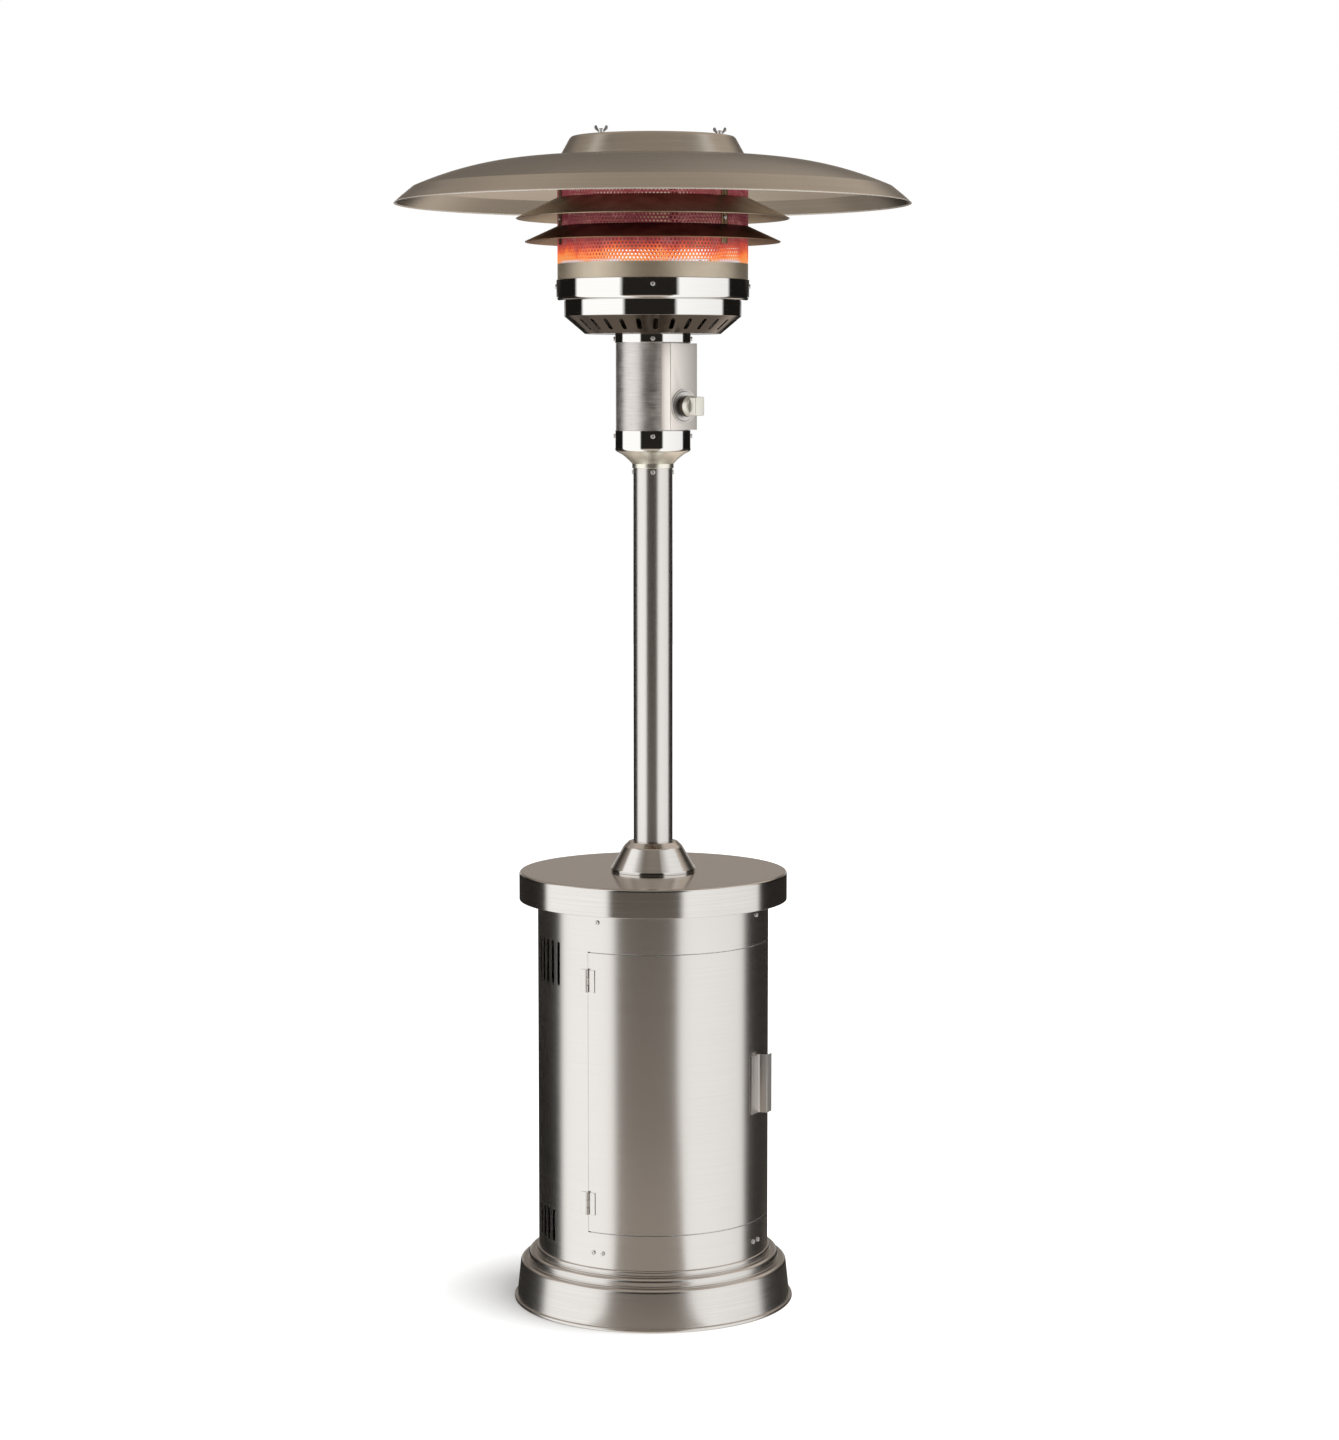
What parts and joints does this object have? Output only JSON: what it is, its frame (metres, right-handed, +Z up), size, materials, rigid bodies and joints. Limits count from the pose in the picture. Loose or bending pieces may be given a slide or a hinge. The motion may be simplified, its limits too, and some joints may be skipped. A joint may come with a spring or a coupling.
{
  "type": "patio heater",
  "caption": "Free-standing gas patio heater: round cabinet with a hinged door on a stepped base, tall post, burner head with push-and-turn knob, perforated emitter and wide reflector.",
  "frame": {"origin": "on the floor, at the middle of the round base", "axes": "+Z up along the post, -Y out through the middle of the cabinet door"},
  "size_m": [0.826, 0.826, 1.9019],
  "materials": {
    "brushed_steel": "brushed stainless steel",
    "polished_steel": "polished stainless steel",
    "reflector_metal": "spun, satin",
    "deflector_metal": "heat-tinted satin",
    "emitter_metal": "perforated, glowing",
    "burner_steel": "heat-tinted",
    "plated_steel": "zinc plated",
    "painted_steel": "matt paint",
    "brass": "machined",
    "copper": "drawn tube",
    "black_rubber": "moulded",
    "black_plastic": "moulded",
    "white_ceramic": "unglazed",
    "knob_metal": "satin plated"
  },
  "bodies": {
    "heater": {"base_ring": "brushed_steel", "cabinet_shell": "brushed_steel", "lid": "brushed_steel", "post_cover": "brushed_steel", "post": "brushed_steel", "post_collar": "brushed_steel", "control_housing": "brushed_steel", "control_box": "brushed_steel", "head_cup": "polished_steel", "neck_ring": "polished_steel", "burner_bowl": "polished_steel", "burner_collar": "polished_steel", "knob_bezel": "polished_steel", "hinge_frame_leaves": "polished_steel", "reflector": "reflector_metal", "reflector_cap": "reflector_metal", "lower_deflector": "deflector_metal", "upper_deflector": "deflector_metal", "ring_straps": "deflector_metal", "emitter_screen": "emitter_metal", "emitter_top": "burner_steel", "burner_pan": "burner_steel", "flame_plate": "burner_steel", "mixing_tube": "burner_steel", "stud_spacers": "burner_steel", "reflector_studs": "burner_steel", "foot_screws": "plated_steel", "lid_screws": "plated_steel", "collar_screws": "plated_steel", "cup_screws": "plated_steel", "neck_screws": "plated_steel", "bowl_bolts": "plated_steel", "burner_collar_screws": "plated_steel", "strap_bolts": "plated_steel", "post_foot_bolts": "plated_steel", "wing_nuts": "plated_steel", "hinge_pins": "plated_steel", "base_brackets": "plated_steel", "lid_brackets": "plated_steel", "door_jamb": "plated_steel", "lid_stiffener": "plated_steel", "base_pan": "painted_steel", "post_foot_plate": "painted_steel", "gas_inlet": "brass", "gas_valve": "brass", "gas_jet": "brass", "pilot_burner": "brass", "gas_pipe": "copper", "thermocouple": "copper", "pipe_grommet": "black_rubber", "door_magnet": "black_plastic", "tilt_switch": "black_plastic", "igniter_electrode": "white_ceramic"},
    "door": {"cabinet_door": "brushed_steel", "hinge_door_leaves": "polished_steel", "door_handle": "polished_steel", "door_strike": "plated_steel"},
    "plunger": {"valve_plunger": "brass"},
    "knob": {"valve_stem": "plated_steel", "control_knob": "knob_metal"}
  },
  "joints": [
    {"name": "door_swing", "type": "hinge", "parent": "heater", "child": "door", "pos_m": [-0.15338, -0.11349, 0.373], "axis": [0, 0, -1], "range_deg": [0, 120]},
    {"name": "knob_push", "type": "slide", "parent": "heater", "child": "plunger", "axis": [-0.3746, 0.9272, 0], "range_m": [0, 0.004], "stiffness_N_per_m": 2000},
    {"name": "knob_turn", "type": "hinge", "parent": "plunger", "child": "knob", "pos_m": [0.03372, -0.08345, 1.461], "axis": [0.3746, -0.9272, 0], "range_deg": [0, 180]}
  ]
}
